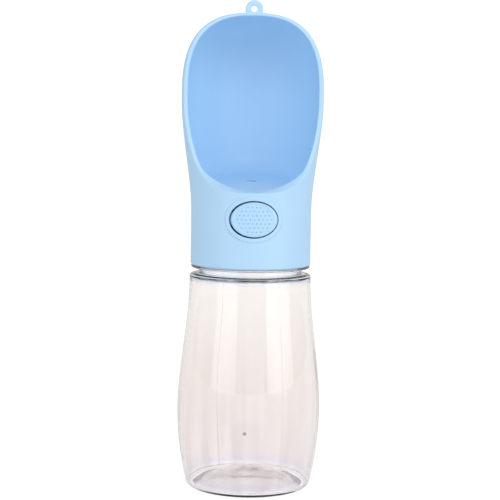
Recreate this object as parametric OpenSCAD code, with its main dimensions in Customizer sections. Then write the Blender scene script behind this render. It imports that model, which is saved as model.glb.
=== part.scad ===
// Travel water bottle for a dog. A screw-on head carries a drinking trough, and
// a button on its collar opens a valve that lets water from the bottle into the trough.
// Millimetres. +Z is up, the trough and the button face -Y, and the origin is the
// centre of the ring that the bottle stands on.

/* [Bottle] */
// Widest diameter of the bottle body
bottle_d = 75; // [66:1:92]
// Height of the widest ring above the table
widest_z = 41; // [32:1:52]
// How far the radius draws in from the widest ring down to the foot
base_taper = 5.7; // [4:0.1:8]
// Height where the body ends and the shoulder turns in to the neck
shoulder_z = 108.5; // [88:0.5:132]
// Wall thickness of the blown bottle
bottle_wall = 1.6; // [1.2:0.1:2.4]
// Height of the dome pushed up into the base
push_up_h = 7; // [4:0.5:10]
// Height of the threaded neck, from the support ring to the mouth
neck_h = 11.4; // [10:0.1:15]

/* [Head] */
// Outside diameter of the collar
collar_d = 63; // [53:0.5:76]
// Height of the straight part of the collar
collar_h = 26.9; // [24:0.1:33]
// Widest outside diameter of the drinking trough
head_d = 74; // [68:1:90]
// Height of the head without its loop
head_h = 130.8; // [110:0.1:160]
// Height of the domed top of the trough
dome_h = 42.9; // [34:1:52]
// Wall thickness of the trough
trough_wall = 2; // [1.6:0.1:3]
// Wall thickness of the collar
collar_wall = 2; // [1.6:0.1:2.6]
// Height of the trough floor above the collar's lower edge, at the centre
floor_h = 43.5; // [41:0.1:53]
// Slope of the trough floor, down towards the lip, in degrees
floor_tilt = 7.5; // [4:0.5:12]
// Distance of the trough's rim in front of the axis, at the foot of the dome
rim_front = 9; // [5:0.5:14]
// How far the rim leans back over the height of the dome
rim_lean = 2.5; // [0:0.5:5]
// Diameter of the outlet hole in the trough floor
outlet_d = 5.4; // [4:0.2:7]

/* [Loop] */
// Outside diameter of the hanging loop
loop_d = 9.4; // [8:0.2:14]
// Diameter of the hole in the loop
loop_hole_d = 3.3; // [3:0.1:6]
// Thickness of the loop
loop_t = 2.4; // [2:0.1:3.6]

/* [Button] */
// Width of the oval button
button_w = 23.7; // [20:0.1:29]
// Height of the oval button
button_h = 17.7; // [15:0.1:21]
// Gap between the button and its window
button_gap = 0.65; // [0.4:0.05:1.2]
// Travel of the button and of the valve behind it
travel = 4; // [3:0.1:4.8]

/* [Valve] */
// Diameter of the valve spindle
spindle_d = 5; // [4:0.1:6]
// Width of the ring-shaped water way round the spindle
water_gap = 1.3; // [1:0.1:1.6]
// Bore of the chamber that holds the spring
chamber_d = 14; // [12.5:0.1:16.8]
// Wire diameter of the return spring
spring_wire = 0.8; // [0.6:0.1:1]

/* [Hidden] */
$fn = 96;
far = 90;

// Clearances: between pieces that are pushed together, between pieces that slide,
// and between the collar and the ring under it
fit = 0.1;
slide = 0.1;
seat_gap = 0.1;

// Collar, screw cap and neck, worked inwards from the outside of the collar
collar_r = collar_d / 2;
collar_bore_r = collar_r - collar_wall;
cap_r = collar_bore_r - fit;
cap_wall = 1.2;
thread_gap = 1.5;
cap_inner_r = cap_r - cap_wall;
neck_r = cap_inner_r - thread_gap;
neck_wall = 1.8;
mouth_r = neck_r - neck_wall;

// Heights on the neck
ring_t = 1.1;
ring_r = collar_r - 0.3;
ring_bevel = 0.3;
ring_z = shoulder_z + 7.4;
neck_foot_r = neck_r + 0.3;
mouth_bevel = 0.5;
collar_z = ring_z + ring_t + seat_gap;
mouth_z = ring_z + ring_t + neck_h;
gasket_t = 1.7;
gasket_r = cap_inner_r - 0.3;
cap_z = collar_z + 0.9;
cap_lead_in = 0.5;
cap_ceiling_z = mouth_z + gasket_t;
cap_ceiling_t = 1.9;
cap_top_z = cap_ceiling_z + cap_ceiling_t;

// Bottle body
bottle_r = bottle_d / 2;
shoulder_r = collar_r + 0.1;
shoulder_round = 3;
chime_z = 3.4;
side_dz = widest_z - chime_z;
side_arc_r = (side_dz * side_dz + base_taper * base_taper) / (2 * base_taper);
side_angle = asin(side_dz / side_arc_r);
chime_r = chime_z / (1 - sin(side_angle));
foot_r = bottle_r - base_taper - chime_r * cos(side_angle);
foot_flat = 1.6;
push_up_r = foot_r - foot_flat - 0.8;
push_up_edge_z = 0.6;
push_up_rise = push_up_h - push_up_edge_z;
push_up_arc_r = (push_up_r * push_up_r + push_up_rise * push_up_rise) / (2 * push_up_rise);
base_t = 1.25 * bottle_wall;

// Head heights
flare_z = collar_z + collar_h;
head_top_z = collar_z + head_h;
dome_z = head_top_z - dome_h;
flare_h = dome_z - 2 - flare_z;
head_r = head_d / 2;
dome_power = 2.66;
top_wall = 0.8 * trough_wall;
floor_z = collar_z + floor_h;
floor_t = trough_wall;
collar_round = 1.2;

// Rim: a quarter ellipse from the lip up to the dome, then a slow lean backwards
lip_drop = 0.85;
lip_z = floor_z - tan(floor_tilt) * collar_r - lip_drop;
rim_reach = collar_r + 3.5 - rim_front;
rim_rise = dome_z - lip_z;

// Dished floor of the trough: its round fades out towards the lip
dish_round = 12;
dish_draft = 12;
dish_r = head_radius(floor_z) - trough_wall + 0.7;
dish_back = 0.65;

// Loop, level with the rim and standing on the dome
loop_r = loop_d / 2;
loop_hole_r = loop_hole_d / 2;
loop_z = head_top_z + loop_hole_r + 0.05;
loop_y0 = -(rim_front - rim_lean) + 0.1;

// Button and its window
barrel_wall = 2;
window_w = button_w + 2 * button_gap;
window_h = button_h + 2 * button_gap;
button_z = cap_top_z + max(window_h / 2 + 1.25, chamber_d / 2 + barrel_wall + 0.6);
boss_w = window_w + 4;
boss_h = window_h + 4.6;
boss_proud = 0.35;
frame_wall = 1.6;
frame_back_y = 0.4 - sqrt(pow(collar_bore_r, 2) - pow(window_w / 2 + frame_wall, 2));
button_face_r = collar_r + 0.7;
button_t = 2.2;
button_wall = 1.6;
button_skirt_y = frame_back_y + 1.6;
pad_w = button_w - 4.3;
pad_h = button_h - 2;
pad_depth = 0.25;
socket_depth = 2;
socket_y = -button_face_r + button_t + socket_depth;
tab_t = 1.4;
tab_reach = 1.2;
tab_h = 7;

// Valve: the spindle runs along Y through the block, level with the button's centre
spindle_r = spindle_d / 2;
seat_r = spindle_r + water_gap;
seat_y = 4.5;
outlet_y = 2;
block_front_y = -16;
gland_ring_t = 2.4;
o_ring_d = 1.5;
gland_r = spindle_r + slide + o_ring_d;
guide_y = block_front_y + gland_ring_t + o_ring_d;
button_stop_y = block_front_y - travel - 0.2;
throat_y = -5.5;
washer_t = 1.5;
washer_r = seat_r + 2.2;
head_t = 1.8;
spring_y0 = seat_y + washer_t + head_t;
spring_coils = 4.5;
spring_len = travel + (spring_coils + 1) * spring_wire + 1.6;
chamber_r = chamber_d / 2;
plug_y = spring_y0 + spring_len;
plug_depth = 4;
block_end_y = plug_y + plug_depth;
barrel_r = chamber_r + barrel_wall;
plug_flange_t = 1.6;
groove_y = plug_y + 1.1;
groove_w = o_ring_d + 0.3;
plug_web = 2.9;
spring_r = chamber_r - 2.2 - spring_wire / 2;
nub_r = spring_r - spring_wire / 2 - 0.3;
nub_len = 2;

// Ports through the cap, the block and the floor
port_r = 2.5;
inlet_y = seat_y + washer_t + travel + port_r;
seal_t = 1.6;
seal_sink = 1;
seal_r = 6;
spigot_r = 5.6;
inlet_seal_z = cap_top_z - seal_sink;
outlet_seal_t = 1.4;
outlet_boss_r = 6.5;
outlet_seat_z = floor_z - floor_t - 0.9;
outlet_seal_r = 4.8;
tower_r = 4.8;
tower_top_z = outlet_seat_z - outlet_seal_t;

// Screws that hold the block's flange to pillars under the floor
flange_t = 2.5;
flange_z = button_z + 4.3;
flange_w = 2 * (barrel_r + 8);
screw_x = barrel_r + 4.5;
screw_ys = [-5, 11];
flange_edge = 4;
screw_r = 1.4;
screw_head_r = 2.6;
screw_head_t = 1.8;
screw_len = 8.4;
screw_bevel = 0.6;
slot_w = 0.6;
slot_len = 2.8;
slot_depth = 1;
pillar_r = 3.3;
pillar_bite = floor_t / 2;

// Snap bead that holds the cap in the collar
bead_z = cap_top_z - 5;
bead_h = 1.6;
bead_reach = 0.6;

// Eases from 0 to 1
function ease(t) = let(u = max(0, min(1, t))) u * u * (3 - 2 * u);

// Outside radius of the head below its dome
function head_radius(z) = collar_r + (head_r - collar_r) * ease((z - flare_z) / flare_h);

// Points along an arc about [cx, cz]
function arc(cx, cz, r, a0, a1, n) =
    [for (i = [0:n]) let(a = a0 + (a1 - a0) * i / n) [cx + r * cos(a), cz + r * sin(a)]];

// Points of an oval
function oval(w, h) = [for (a = [0:7.5:359]) [w / 2 * cos(a), h / 2 * sin(a)]];

// Quarter of the dome's outline, from its foot to its crown
function dome(r, h, n) = [
    for (i = [0:n])
        let(a = 90 * i / n)
        [r * pow(max(0, cos(a)), 2 / dome_power), dome_z + h * pow(sin(a), 2 / dome_power)]
];

// Outline of the head, set in by a wall
function head_outline(z0, wall, top) = concat(
    [for (i = [0:16]) let(z = z0 + (dome_z - 2 - z0) * i / 16) [head_radius(z) - wall, z]],
    dome(head_r - wall, dome_h - top, 14)
);

// Distance of the rim in front of the axis at a height
function rim_c(z) =
    z < dome_z
    ? rim_front + rim_reach * (1 - sqrt(max(0, 1 - pow((dome_z - z) / rim_rise, 2))))
    : rim_front - rim_lean * pow((z - dome_z) / dome_h, 2);

// Radius of the bottle's side at a height
function bottle_radius(z) =
    z < widest_z
    ? bottle_r - side_arc_r + sqrt(pow(side_arc_r, 2) - pow(widest_z - z, 2))
    : shoulder_r + (bottle_r - shoulder_r) * ease((shoulder_z - z + 1.5) / (shoulder_z - widest_z + 1.5));

// Side of the bottle from the foot to the shoulder, set in by a wall
function bottle_side(wall) = concat(
    [for (i = [0:10]) let(z = chime_z + side_dz * i / 10) [bottle_radius(z) - wall, z]],
    [for (i = [1:14]) let(z = widest_z + (shoulder_z - widest_z) * i / 14) [bottle_radius(z) - wall, z]]
);

// Dome pushed up into the base, from the centre outwards, raised by a thickness
function push_up(t) = [
    for (i = [0:6])
        let(r = push_up_r * i / 6)
        [r, push_up_h + t - push_up_arc_r + sqrt(pow(push_up_arc_r, 2) - r * r)]
];

// Cylinder along Y from y0 to y1, about the valve's axis
module rod_y(r, y0, y1) {
    translate([0, y0, button_z])
        rotate([-90, 0, 0])
            cylinder(r = r, h = y1 - y0);
}

// Cone along Y about the valve's axis
module cone_y(r0, r1, y0, y1) {
    translate([0, y0, button_z])
        rotate([-90, 0, 0])
            cylinder(r1 = r0, r2 = r1, h = y1 - y0);
}

// Oval prism along Y about the button's centre
module oval_y(w, h, y0, y1) {
    translate([0, y1, button_z])
        rotate([90, 0, 0])
            linear_extrude(y1 - y0)
                polygon(oval(w, h));
}

// Upright cylinder between two heights
module post(x, y, r, z0, z1) {
    translate([x, y, z0])
        cylinder(r = r, h = z1 - z0);
}

// Flat ring between two heights
module washer(y, r, hole, z0, z1) {
    difference() {
        post(0, y, r, z0, z1);
        post(0, y, hole, z0 - 1, z1 + 1);
    }
}

// O-ring about the valve's axis
module o_ring_y(r, d, y) {
    translate([0, y, button_z])
        rotate([-90, 0, 0])
            rotate_extrude()
                translate([r, 0])
                    circle(d = d, $fn = 32);
}

module bottle() {
    shoulder_c = shoulder_r - shoulder_round;
    outside = concat(
        push_up(0),
        [[foot_r - foot_flat, 0], [foot_r, 0]],
        arc(foot_r, chime_r, chime_r, -72, -side_angle - 4, 5),
        bottle_side(0),
        arc(shoulder_c, shoulder_z, shoulder_round, 12, 50, 4),
        [
            [neck_foot_r + 0.9, shoulder_z + 4.2],
            [neck_foot_r, shoulder_z + 5.2],
            [neck_foot_r, ring_z],
            [ring_r - ring_bevel, ring_z],
            [ring_r, ring_z + ring_bevel],
            [ring_r, ring_z + ring_t],
            [neck_r, ring_z + ring_t],
            [neck_r, mouth_z - mouth_bevel],
            [neck_r - mouth_bevel, mouth_z]
        ]
    );
    inside = concat(
        push_up(base_t),
        arc(foot_r, chime_r, chime_r - bottle_wall, -90, -side_angle, 5),
        bottle_side(bottle_wall),
        arc(shoulder_c, shoulder_z, shoulder_round - bottle_wall, 12, 50, 3),
        [
            [mouth_r + 0.8, shoulder_z + 4.4],
            [mouth_r, shoulder_z + 6],
            [mouth_r, mouth_z + 1],
            [0, mouth_z + 1]
        ]
    );
    color([0.9, 0.93, 0.95, 0.4])
        difference() {
            rotate_extrude()
                polygon(concat(outside, [[0, mouth_z]]));
            rotate_extrude()
                polygon(inside);
        }
}

module bottle_gasket() {
    color([0.93, 0.94, 0.94])
        difference() {
            post(0, 0, gasket_r, mouth_z, cap_ceiling_z);
            post(0, 0, mouth_r, mouth_z - 1, cap_ceiling_z + 1);
        }
}

// Solid outside of the head, before it is hollowed
module head_body() {
    rotate_extrude()
        polygon(concat(
            [[0, collar_z]],
            arc(collar_r - collar_round, collar_z + collar_round, collar_round, -90, 0, 5),
            head_outline(flare_z, 0, 0)
        ));
    intersection() {
        oval_y(boss_w, boss_h, -far, 0);
        post(0, 0, collar_r + boss_proud, collar_z + 5, floor_z);
    }
    translate([0, loop_y0 + loop_t, loop_z])
        rotate([90, 0, 0])
            cylinder(r = loop_r, h = loop_t);
}

// Round at the foot of the trough's wall, the lean of that wall and its distance from
// the axis, by the angle round from the lip
function foot_round(a) = max(0.6, dish_round * sin(min(90, 1.4 * min(a, 360 - a))));
function foot_lean(a) = dish_draft - floor_tilt * cos(a);
function foot_reach(a) = dish_r + dish_back * pow(1 - cos(a), 2);

// Space above the dished floor, before the floor is tilted
module dish() {
    steps = 60;
    bends = 6;
    points = concat(
        [[0, 0, 0]],
        [
            for (j = [0:bends + 1], i = [0:steps - 1])
                let(
                    a = 360 * i / steps,
                    bend = -90 + (90 - foot_lean(a)) * min(j, bends) / bends,
                    z = j > bends ? far : foot_round(a) * (1 + sin(bend)),
                    flare = j > bends ? (far - foot_round(a)) * tan(foot_lean(a)) : 0,
                    r = foot_reach(a) + flare - foot_round(a) * (1 - cos(bend))
                )
                [r * sin(a), -r * cos(a), z]
        ],
        [[0, 0, far]]
    );
    last = len(points) - 1;
    floor_faces = [for (i = [0:steps - 1]) [0, 1 + i, 1 + (i + 1) % steps]];
    wall_faces = [
        for (j = [0:bends], i = [0:steps - 1])
            let(here = 1 + j * steps + i, next = 1 + j * steps + (i + 1) % steps)
            each [[here, here + steps, next + steps], [here, next + steps, next]]
    ];
    top_faces = [
        for (i = [0:steps - 1])
            [last, last - steps + (i + 1) % steps, last - steps + i]
    ];
    polyhedron(points, concat(floor_faces, wall_faces, top_faces), convexity = 4);
}

// Hollow of the trough: the head's outline set in by the wall, above a dished floor
module trough_hollow() {
    intersection() {
        rotate_extrude()
            polygon(concat(
                [[0, flare_z]],
                head_outline(flare_z, trough_wall, top_wall)
            ));
        translate([0, 0, floor_z])
            rotate([floor_tilt, 0, 0])
                dish();
    }
}

// Everything in front of the rim
module rim_cut() {
    rotate([90, 0, 90])
        translate([0, 0, -far / 2])
            linear_extrude(far)
                polygon(concat(
                    [[-far, lip_z]],
                    [for (i = [0:18]) let(z = lip_z + rim_rise * (1 - cos(90 * i / 18))) [-rim_c(z), z]],
                    [for (i = [1:5]) let(z = dome_z + (dome_h + 2) * i / 5) [-rim_c(z), z]],
                    [[-far, head_top_z + 2]]
                ));
}

// Room in the collar for the cap, the button and the valve
module collar_hollow() {
    intersection() {
        post(0, 0, collar_bore_r, collar_z - 1, floor_z + 20);
        translate([0, 0, floor_z - floor_t])
            rotate([floor_tilt, 0, 0])
                translate([0, 0, -far])
                    cylinder(r = far, h = far);
    }
    rotate_extrude()
        polygon([
            [collar_bore_r - 1, bead_z - bead_reach - fit],
            [collar_bore_r, bead_z - bead_reach - fit],
            [collar_bore_r + bead_reach, bead_z],
            [collar_bore_r + bead_reach, bead_z + bead_h],
            [collar_bore_r, bead_z + bead_h + bead_reach + fit],
            [collar_bore_r - 1, bead_z + bead_h + bead_reach + fit]
        ]);
}

// Landing round the inside of the window, clear of the cap below it, the screw
// pillars and the outlet's boss
module collar_fittings() {
    intersection() {
        difference() {
            oval_y(window_w + 2 * frame_wall, window_h + 2 * frame_wall, -collar_r, frame_back_y);
            oval_y(window_w, window_h, -far, 0);
        }
        post(0, 0, collar_r - 0.5, button_z - window_h / 2 + 1.5, floor_z - floor_t);
    }
    for (x = [-screw_x, screw_x], y = screw_ys)
        difference() {
            post(x, y, pillar_r, flange_z + flange_t, floor_z - pillar_bite + y * tan(floor_tilt));
            post(x, y, screw_r + 0.05, flange_z, flange_z + screw_len + 0.4);
        }
    post(0, outlet_y, outlet_boss_r, outlet_seat_z, floor_z - pillar_bite);
}

module head_shell() {
    color([0.66, 0.8, 0.94])
        difference() {
            union() {
                difference() {
                    head_body();
                    trough_hollow();
                    rim_cut();
                    collar_hollow();
                }
                collar_fittings();
            }
            oval_y(window_w, window_h, -far, frame_back_y + 1);
            post(0, outlet_y, outlet_d / 2, outlet_seat_z - 1, floor_z + 2);
            translate([0, 0, loop_z])
                rotate([90, 0, 0])
                    translate([0, 0, -10])
                        cylinder(r = loop_hole_r, h = 30);
        }
}

module inner_cap() {
    color([0.95, 0.95, 0.94])
        difference() {
            rotate_extrude()
                polygon([
                    [0, cap_ceiling_z],
                    [cap_inner_r, cap_ceiling_z],
                    [cap_inner_r, cap_z + cap_lead_in],
                    [cap_inner_r + cap_lead_in, cap_z],
                    [cap_r, cap_z],
                    [cap_r, bead_z - bead_reach],
                    [cap_r + bead_reach, bead_z],
                    [cap_r + bead_reach, bead_z + bead_h],
                    [cap_r, bead_z + bead_h + bead_reach],
                    [cap_r, cap_top_z],
                    [0, cap_top_z]
                ]);
            post(0, inlet_y, port_r, cap_ceiling_z - 1, cap_top_z + 1);
            post(0, inlet_y, seal_r + fit, inlet_seal_z, cap_top_z + 1);
        }
}

module push_button() {
    face_in_r = button_face_r - button_t;
    color([0.72, 0.85, 0.97])
        difference() {
            union() {
                difference() {
                    intersection() {
                        oval_y(button_w, button_h, -far, button_skirt_y);
                        post(0, 0, button_face_r, button_z - button_h, button_z + button_h);
                    }
                    intersection() {
                        oval_y(button_w - 2 * button_wall, button_h - 2 * button_wall, -far, 0);
                        post(0, 0, face_in_r, button_z - button_h, button_z + button_h);
                    }
                }
                rod_y(spindle_r + 2, -face_in_r - button_t / 2, button_stop_y);
                for (side = [0, 1])
                    mirror([side, 0, 0])
                        translate([button_w / 2 - button_wall, frame_back_y + 0.2, button_z - tab_h / 2])
                            cube([button_wall + button_gap + tab_reach, tab_t, tab_h]);
            }
            difference() {
                oval_y(pad_w, pad_h, -far, -button_face_r / 2);
                post(0, 0, button_face_r - pad_depth, button_z - far, button_z + far);
            }
            rod_y(spindle_r + fit / 2, socket_y, 0);
        }
}

module valve_block() {
    color([0.93, 0.93, 0.9])
        difference() {
            union() {
                rod_y(barrel_r, block_front_y, block_end_y);
                post(0, inlet_y, spigot_r, cap_top_z - seal_sink + seal_t, button_z);
                post(0, outlet_y, tower_r, button_z, tower_top_z);
                difference() {
                    translate([-flange_w / 2, screw_ys[0] - flange_edge, flange_z])
                        cube([flange_w, screw_ys[1] - screw_ys[0] + 2 * flange_edge, flange_t]);
                    for (x = [-screw_x, screw_x], y = screw_ys)
                        post(x, y, screw_r + 0.15, flange_z - 1, flange_z + flange_t + 1);
                }
            }
            rod_y(gland_r, block_front_y - 1, guide_y);
            rod_y(spindle_r + slide, block_front_y, seat_y);
            rod_y(seat_r, throat_y, seat_y + 1);
            rod_y(chamber_r, seat_y, block_end_y + 1);
            post(0, inlet_y, port_r, cap_top_z - 2, button_z);
            post(0, outlet_y, port_r, button_z, tower_top_z + 1);
        }
}

module inlet_seal() {
    color([0.9, 0.91, 0.92])
        washer(inlet_y, seal_r, port_r, inlet_seal_z, inlet_seal_z + seal_t);
}

module outlet_seal() {
    color([0.9, 0.91, 0.92])
        washer(outlet_y, outlet_seal_r, port_r, tower_top_z, outlet_seat_z);
}

module gland_o_ring() {
    color([0.2, 0.2, 0.22])
        o_ring_y(spindle_r + slide + o_ring_d / 2, o_ring_d, guide_y - o_ring_d / 2);
}

module gland_ring() {
    color([0.93, 0.93, 0.9])
        difference() {
            rod_y(gland_r, block_front_y, block_front_y + gland_ring_t);
            rod_y(spindle_r + slide, block_front_y - 1, guide_y);
        }
}

module valve_spindle() {
    color([0.95, 0.95, 0.95])
        union() {
            rod_y(spindle_r, socket_y + fit, spring_y0);
            rod_y(washer_r - 0.5, seat_y + washer_t, spring_y0);
            cone_y(nub_r, nub_r - 0.6, spring_y0, spring_y0 + nub_len);
        }
}

module valve_washer() {
    color([0.9, 0.91, 0.92])
        difference() {
            rod_y(washer_r, seat_y, seat_y + washer_t);
            rod_y(spindle_r + 0.02, seat_y - 1, seat_y + washer_t + 1);
        }
}

// Height reached along the spring after t turns: the end turns lie closed
function coil_rise(t) =
    let(
        closed = 1.1 * spring_wire,
        last = spring_coils - 1,
        open = (spring_len - spring_wire - 2 * closed) / (spring_coils - 2)
    )
    t < 1 ? t * closed
    : t > last ? spring_len - spring_wire - (spring_coils - t) * closed
    : closed + (t - 1) * open;

module return_spring() {
    sides = 8;
    steps = 16;
    rings = spring_coils * steps;
    points = [
        for (i = [0:rings], k = [0:sides - 1])
            let(
                turn = 360 * i / steps,
                side = 360 * k / sides,
                r = spring_r + spring_wire / 2 * cos(side)
            )
            [
                r * cos(turn),
                spring_y0 + spring_wire / 2 + coil_rise(i / steps) + spring_wire / 2 * sin(side),
                button_z + r * sin(turn)
            ]
    ];
    walls = [
        for (i = [0:rings - 1], k = [0:sides - 1])
            let(next = (k + 1) % sides)
            [i * sides + k, i * sides + next, (i + 1) * sides + next, (i + 1) * sides + k]
    ];
    ends = [
        [for (k = [sides - 1:-1:0]) k],
        [for (k = [0:sides - 1]) rings * sides + k]
    ];
    color([0.75, 0.76, 0.78])
        polyhedron(points, concat(walls, ends), convexity = 8);
}

module end_plug() {
    color([0.93, 0.93, 0.9])
        difference() {
            union() {
                rod_y(chamber_r - fit, plug_y, block_end_y);
                rod_y(barrel_r, block_end_y, block_end_y + plug_flange_t);
            }
            difference() {
                rod_y(chamber_r + 1, groove_y, groove_y + groove_w);
                rod_y(chamber_r - o_ring_d - slide, groove_y - 1, groove_y + groove_w + 1);
            }
            rod_y(nub_r, plug_y + plug_web, block_end_y + plug_flange_t + 1);
        }
}

module plug_o_ring() {
    color([0.2, 0.2, 0.22])
        o_ring_y(chamber_r - o_ring_d / 2, o_ring_d, groove_y + groove_w / 2);
}

module block_screws() {
    color([0.75, 0.76, 0.78])
        for (x = [-screw_x, screw_x], y = screw_ys)
            translate([x, y, flange_z])
                difference() {
                    union() {
                        cylinder(r = screw_r, h = screw_len);
                        translate([0, 0, -screw_head_t])
                            cylinder(r1 = screw_head_r - screw_bevel, r2 = screw_head_r, h = screw_bevel);
                        translate([0, 0, screw_bevel - screw_head_t])
                            cylinder(r = screw_head_r, h = screw_head_t - screw_bevel);
                    }
                    for (a = [0, 90])
                        rotate([0, 0, a])
                            translate([-slot_len / 2, -slot_w / 2, -screw_head_t - 1])
                                cube([slot_len, slot_w, 1 + slot_depth]);
                }
}

bottle();
bottle_gasket();
head_shell();
inner_cap();
push_button();
valve_block();
inlet_seal();
outlet_seal();
gland_o_ring();
gland_ring();
valve_spindle();
valve_washer();
return_spring();
end_plug();
plug_o_ring();
block_screws();
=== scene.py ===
import math

import bmesh
import bpy
import numpy as np
from mathutils import Matrix, Vector


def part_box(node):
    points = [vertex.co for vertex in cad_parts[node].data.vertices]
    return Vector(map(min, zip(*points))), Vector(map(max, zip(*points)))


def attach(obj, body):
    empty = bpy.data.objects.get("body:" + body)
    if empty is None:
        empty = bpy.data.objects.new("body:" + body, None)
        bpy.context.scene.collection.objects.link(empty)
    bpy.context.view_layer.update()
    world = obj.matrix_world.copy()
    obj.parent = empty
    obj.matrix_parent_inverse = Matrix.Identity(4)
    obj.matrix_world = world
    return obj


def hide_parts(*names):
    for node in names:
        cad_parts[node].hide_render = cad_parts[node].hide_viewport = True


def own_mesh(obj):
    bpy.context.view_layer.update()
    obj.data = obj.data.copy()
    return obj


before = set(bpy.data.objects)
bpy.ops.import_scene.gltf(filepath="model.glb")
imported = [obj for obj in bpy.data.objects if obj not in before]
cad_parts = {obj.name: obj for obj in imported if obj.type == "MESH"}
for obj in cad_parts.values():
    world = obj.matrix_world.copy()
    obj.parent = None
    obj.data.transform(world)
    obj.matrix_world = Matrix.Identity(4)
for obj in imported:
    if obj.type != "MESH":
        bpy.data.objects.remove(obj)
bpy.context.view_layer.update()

mm = 0.001


# Camera. It stands 0.72 m from the bottle's axis, a little to the left of the button,
# and looks slightly down on the trough through a 99 mm lens.
view_distance = 718 * mm
view_height = 191 * mm
view_turn = math.radians(-2.6)
view_roll = math.radians(0.83)
aim_height = 124.65 * mm
aim_side = -0.3 * mm
eye = Vector((view_distance * math.sin(view_turn), -view_distance * math.cos(view_turn), view_height))
aim = Vector((aim_side, 0, aim_height))
lens = bpy.data.cameras.new("camera")
lens.sensor_width = 36
lens.lens = 98.6
lens.clip_start = 0.05
camera = bpy.data.objects.new("camera", lens)
bpy.context.collection.objects.link(camera)
look = (aim - eye).to_track_quat("-Z", "Y").to_matrix().to_4x4()
camera.matrix_world = Matrix.Translation(eye) @ look @ Matrix.Rotation(view_roll, 4, "Z")
bpy.context.scene.camera = camera


# Floor. A pale matt board, 3.2 m wide, lies under the bottle and curves up behind it in
# a quarter round, as in a studio.
def colour(code):
    """Linear RGBA from an sRGB hex code."""
    parts = [int(code[i:i + 2], 16) / 255 for i in (1, 3, 5)]
    return [p / 12.92 if p <= 0.04045 else ((p + 0.055) / 1.055) ** 2.4 for p in parts] + [1]


def add_node(material, kind, inputs=None, **settings):
    """Adds a node; inputs holds a value, or the socket to link, for each named input."""
    tree = material.node_tree
    node = tree.nodes.new("ShaderNode" + kind)
    for name, value in settings.items():
        setattr(node, name, value)
    for name, value in (inputs or {}).items():
        if isinstance(value, bpy.types.NodeSocket):
            tree.links.new(value, node.inputs[name])
        else:
            node.inputs[name].default_value = value
    return node


def start_material(name, **inputs):
    """A material whose own shader has these inputs; returns it and its shader."""
    material = bpy.data.materials.new(name)
    material.use_nodes = True
    shader = material.node_tree.nodes["Principled BSDF"]
    for key, value in inputs.items():
        shader.inputs[key.replace("_", " ")].default_value = value
    return material, shader


def link(material, source, shader, name):
    """Links a node's output socket to an input of the shader or of the material."""
    material.node_tree.links.new(source, shader.inputs[name])


def make_piece(name, bm, material, smooth_angle=35):
    """Makes an object of a mesh, shaded smooth except over sharper angles."""
    mesh = bpy.data.meshes.new(name)
    bm.to_mesh(mesh)
    bm.free()
    mesh.materials.append(material)
    mesh.shade_smooth()
    mesh.set_sharp_from_angle(angle=math.radians(smooth_angle))
    piece = bpy.data.objects.new(name, mesh)
    bpy.context.collection.objects.link(piece)
    return piece


sweep_half_width = 1.6
sweep_front = -1.4
sweep_back = 0.9
sweep_radius = 0.5
sweep_height = 1.5
sweep_steps = 12
bm = bmesh.new()
start = [bm.verts.new((x, sweep_front, 0)) for x in (-sweep_half_width, sweep_half_width)]
edge = bm.edges.new(start)
path = [(sweep_back, 0)]
for turn in np.linspace(0, math.pi / 2, sweep_steps + 1)[1:]:
    path.append((sweep_back + sweep_radius * math.sin(turn), sweep_radius * (1 - math.cos(turn))))
path.append((sweep_back + sweep_radius, sweep_height))
for y, z in path:
    grown = bmesh.ops.extrude_edge_only(bm, edges=[edge])["geom"]
    sides = [g for g in grown if isinstance(g, bmesh.types.BMEdge)]
    edge = next(e for e in sides if all(v in grown for v in e.verts))
    for v in edge.verts:
        v.co.y, v.co.z = y, z
bmesh.ops.recalc_face_normals(bm, faces=bm.faces)
# White light board: matt, and lit from behind so that it shows white, straight on or
# through clear plastic, though that glow doesn't light what stands on it
board_glow = 0.4
board, shader = start_material(
    "white_light_board", Base_Color=colour("#F4F4F3"), Roughness=0.9, Emission_Color=colour("#FFFFFF")
)
ray = add_node(board, "LightPath")
glow = add_node(
    board, "MapRange", {"Value": ray.outputs["Is Reflection Ray"], "To Min": board_glow, "To Max": 0}
)
link(board, glow.outputs["Result"], shader, "Emission Strength")
make_piece("floor", bm, board)


# Light. Three large soft boxes stand 1.2 m from the head in a white room: one in front,
# above the line of sight, and a wider one on each side.
light_distance = 1.2
light_aim = Vector((0, 0, 160 * mm))
room_strength = 0.63


def soft_box(name, turn, rise, side, power):
    """A square area light that faces the head, at a turn from the front and a rise."""
    turn, rise = math.radians(turn), math.radians(rise)
    flat = light_distance * math.cos(rise)
    up = light_distance * math.sin(rise)
    away = Vector((flat * math.sin(turn), -flat * math.cos(turn), up))
    lamp = bpy.data.lights.new(name, "AREA")
    lamp.shape = "RECTANGLE"
    lamp.size = lamp.size_y = side
    lamp.energy = power
    holder = bpy.data.objects.new(name, lamp)
    bpy.context.collection.objects.link(holder)
    facing = (-away).to_track_quat("-Z", "Y").to_matrix().to_4x4()
    holder.matrix_world = Matrix.Translation(light_aim + away) @ facing


soft_box("soft_box_front", turn=8, rise=36, side=0.55, power=2.45)
soft_box("soft_box_right", turn=52, rise=8, side=1.05, power=3.7)
soft_box("soft_box_left", turn=-45, rise=8, side=0.9, power=1.95)
room = bpy.data.worlds.new("white_room")
room.use_nodes = True
room.node_tree.nodes["Background"].inputs["Color"].default_value = colour("#FFFFFF")
room.node_tree.nodes["Background"].inputs["Strength"].default_value = room_strength
bpy.context.scene.world = room
bpy.context.scene.view_settings.view_transform = "Standard"


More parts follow.
